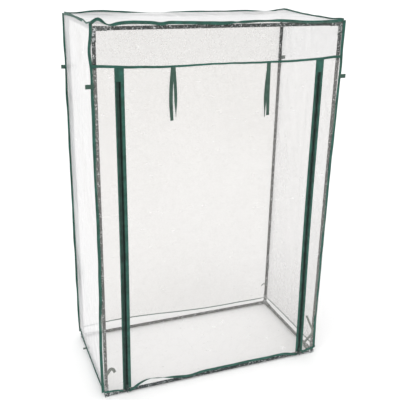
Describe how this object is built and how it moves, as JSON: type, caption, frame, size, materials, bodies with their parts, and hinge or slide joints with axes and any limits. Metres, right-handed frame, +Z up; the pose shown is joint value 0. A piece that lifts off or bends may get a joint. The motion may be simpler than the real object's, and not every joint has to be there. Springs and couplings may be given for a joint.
{
  "type": "mini greenhouse",
  "caption": "Free-standing mini greenhouse: a push-fit steel tube frame under a clear film cover edged in green tape, with a zipped front door that gathers up under a header.",
  "frame": {"origin": "on the ground, under the middle of the frame", "axes": "+Z up, +X to the right of someone facing the door, -Y towards them"},
  "size_m": [1.064, 0.5256, 1.5325],
  "materials": {
    "steel_tube": "satin grey powder coat",
    "connector_plastic": "matt moulded",
    "clear_film": "clear, glossy, lightly creased",
    "green_binding": "woven binding tape",
    "zip_tape": "woven zip tape with a dark nylon coil",
    "zip_metal": "dark green lacquer",
    "green_strap": "woven strap tape"
  },
  "bodies": {
    "root": {"connector_bottom_front_left": "connector_plastic", "connector_bottom_front_right": "connector_plastic", "connector_bottom_rear_left": "connector_plastic", "connector_bottom_rear_right": "connector_plastic", "connector_top_front_left": "connector_plastic", "connector_top_front_right": "connector_plastic", "connector_top_rear_left": "connector_plastic", "connector_top_rear_right": "connector_plastic", "rail_bottom_front": "steel_tube", "rail_bottom_rear": "steel_tube", "rail_bottom_left": "steel_tube", "rail_bottom_right": "steel_tube", "rail_top_front": "steel_tube", "rail_top_rear": "steel_tube", "rail_top_left": "steel_tube", "rail_top_right": "steel_tube", "post_lower_front_left": "steel_tube", "post_upper_front_left": "steel_tube", "post_lower_front_right": "steel_tube", "post_upper_front_right": "steel_tube", "post_lower_rear_left": "steel_tube", "post_upper_rear_left": "steel_tube", "post_lower_rear_right": "steel_tube", "post_upper_rear_right": "steel_tube", "film_roof": "clear_film", "film_rear": "clear_film", "film_left": "clear_film", "film_right": "clear_film", "film_header": "clear_film", "film_jamb_left": "clear_film", "film_jamb_right": "clear_film", "binding_roof": "green_binding", "binding_hem": "green_binding", "binding_header": "green_binding", "binding_corner_front_left": "green_binding", "binding_corner_front_right": "green_binding", "binding_corner_rear_left": "green_binding", "binding_corner_rear_right": "green_binding", "zip_tape_left": "zip_tape", "zip_tape_right": "zip_tape", "corner_tab_front_left": "green_strap", "corner_tab_front_right": "green_strap", "corner_tab_rear_left": "green_strap", "corner_tab_rear_right": "green_strap"},
    "slider_left": {"zip_slider_left": "zip_metal"},
    "pull_left": {"zip_pull_left": "zip_metal"},
    "tie_left": {"door_tie_left": "green_strap"},
    "slider_right": {"zip_slider_right": "zip_metal"},
    "pull_right": {"zip_pull_right": "zip_metal"},
    "tie_right": {"door_tie_right": "green_strap"},
    "door_1": {"door_fold_1": "clear_film"},
    "door_2": {"door_fold_2": "clear_film"},
    "door_3": {"door_fold_3": "clear_film"},
    "door_4": {"door_fold_4": "clear_film"},
    "door_5": {"door_fold_5": "clear_film"},
    "door_6": {"door_fold_6": "clear_film"},
    "door_7": {"door_fold_7": "clear_film"},
    "door_8": {"door_fold_8": "clear_film", "door_hem": "green_binding"}
  },
  "joints": [
    {"name": "door_hinge_1", "type": "hinge", "parent": "root", "child": "door_1", "pos_m": [0, -0.248, 1.371], "axis": [1, 0, 0], "range_deg": [0, 85]},
    {"name": "door_hinge_2", "type": "hinge", "parent": "door_1", "child": "door_2", "pos_m": [0, -0.254, 1.20287], "axis": [1, 0, 0], "range_deg": [-170, 0]},
    {"name": "door_hinge_3", "type": "hinge", "parent": "door_2", "child": "door_3", "pos_m": [0, -0.252, 1.03475], "axis": [1, 0, 0], "range_deg": [0, 170]},
    {"name": "door_hinge_4", "type": "hinge", "parent": "door_3", "child": "door_4", "pos_m": [0, -0.254, 0.86662], "axis": [1, 0, 0], "range_deg": [-170, 0]},
    {"name": "door_hinge_5", "type": "hinge", "parent": "door_4", "child": "door_5", "pos_m": [0, -0.252, 0.6985], "axis": [1, 0, 0], "range_deg": [0, 170]},
    {"name": "door_hinge_6", "type": "hinge", "parent": "door_5", "child": "door_6", "pos_m": [0, -0.254, 0.53038], "axis": [1, 0, 0], "range_deg": [-170, 0]},
    {"name": "door_hinge_7", "type": "hinge", "parent": "door_6", "child": "door_7", "pos_m": [0, -0.252, 0.36225], "axis": [1, 0, 0], "range_deg": [0, 170]},
    {"name": "door_hinge_8", "type": "hinge", "parent": "door_7", "child": "door_8", "pos_m": [0, -0.254, 0.19412], "axis": [1, 0, 0], "range_deg": [-170, 0]},
    {"name": "slider_left_slide", "type": "slide", "parent": "root", "child": "slider_left", "axis": [-0.0015, 0, 1], "range_m": [0, 1.275]},
    {"name": "pull_left_hinge", "type": "hinge", "parent": "slider_left", "child": "pull_left", "pos_m": [-0.40602, -0.26185, 0.033], "axis": [-1, 0, 0], "range_deg": [0, 120]},
    {"name": "slider_right_slide", "type": "slide", "parent": "root", "child": "slider_right", "axis": [-0.0092, 0, 1], "range_m": [0, 1.275]},
    {"name": "pull_right_hinge", "type": "hinge", "parent": "slider_right", "child": "pull_right", "pos_m": [0.41889, -0.26185, 0.033], "axis": [-1, 0, 0], "range_deg": [0, 120]},
    {"name": "tie_left_hinge", "type": "hinge", "parent": "root", "child": "tie_left", "pos_m": [-0.207, -0.2578, 1.371], "axis": [-1, 0, 0], "range_deg": [0, 90]},
    {"name": "tie_right_hinge", "type": "hinge", "parent": "root", "child": "tie_right", "pos_m": [0.179, -0.2578, 1.371], "axis": [-1, 0, 0], "range_deg": [0, 90]}
  ],
  "couplings": [
    {"joint": "door_hinge_2", "follows": "door_hinge_1", "ratio": -2},
    {"joint": "door_hinge_3", "follows": "door_hinge_1", "ratio": 2},
    {"joint": "door_hinge_4", "follows": "door_hinge_1", "ratio": -2},
    {"joint": "door_hinge_5", "follows": "door_hinge_1", "ratio": 2},
    {"joint": "door_hinge_6", "follows": "door_hinge_1", "ratio": -2},
    {"joint": "door_hinge_7", "follows": "door_hinge_1", "ratio": 2},
    {"joint": "door_hinge_8", "follows": "door_hinge_1", "ratio": -2}
  ]
}
